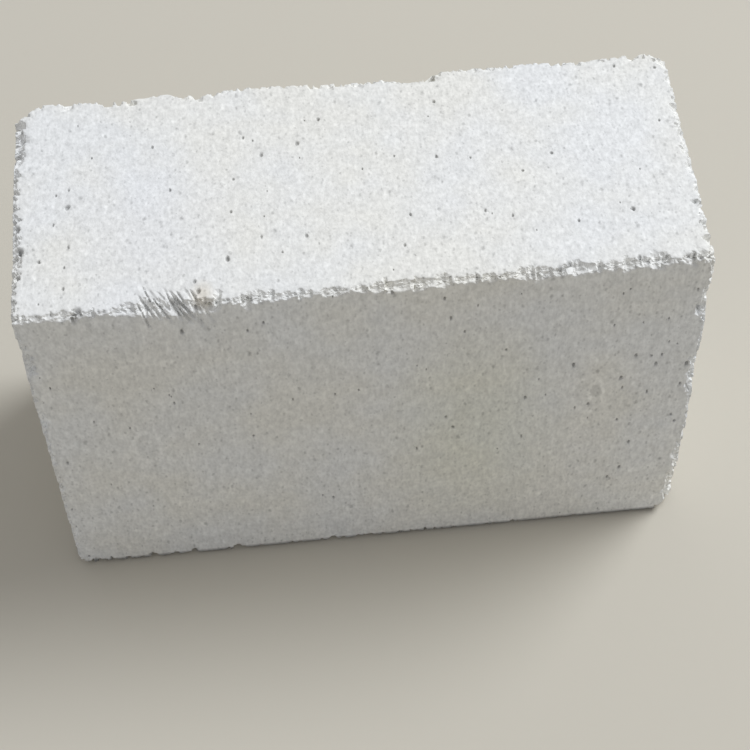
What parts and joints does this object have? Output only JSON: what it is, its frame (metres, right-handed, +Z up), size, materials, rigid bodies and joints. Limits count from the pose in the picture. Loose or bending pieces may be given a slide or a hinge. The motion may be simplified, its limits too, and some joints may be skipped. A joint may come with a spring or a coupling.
{
  "type": "concrete block",
  "caption": "Solid rectangular block of autoclaved aerated concrete with flat cut faces and worn, chipped edges.",
  "frame": {"origin": "middle of the long, narrow bed face that the block stands on", "axes": "+X along the block's length, +Y from its front face to its back face, +Z up through its height"},
  "size_m": [0.6, 0.25, 0.4],
  "materials": {
    "aerated_concrete": "matt, off-white, finely porous, wire-cut and dusty"
  },
  "bodies": {
    "root": {"block": "aerated_concrete"}
  },
  "joints": []
}
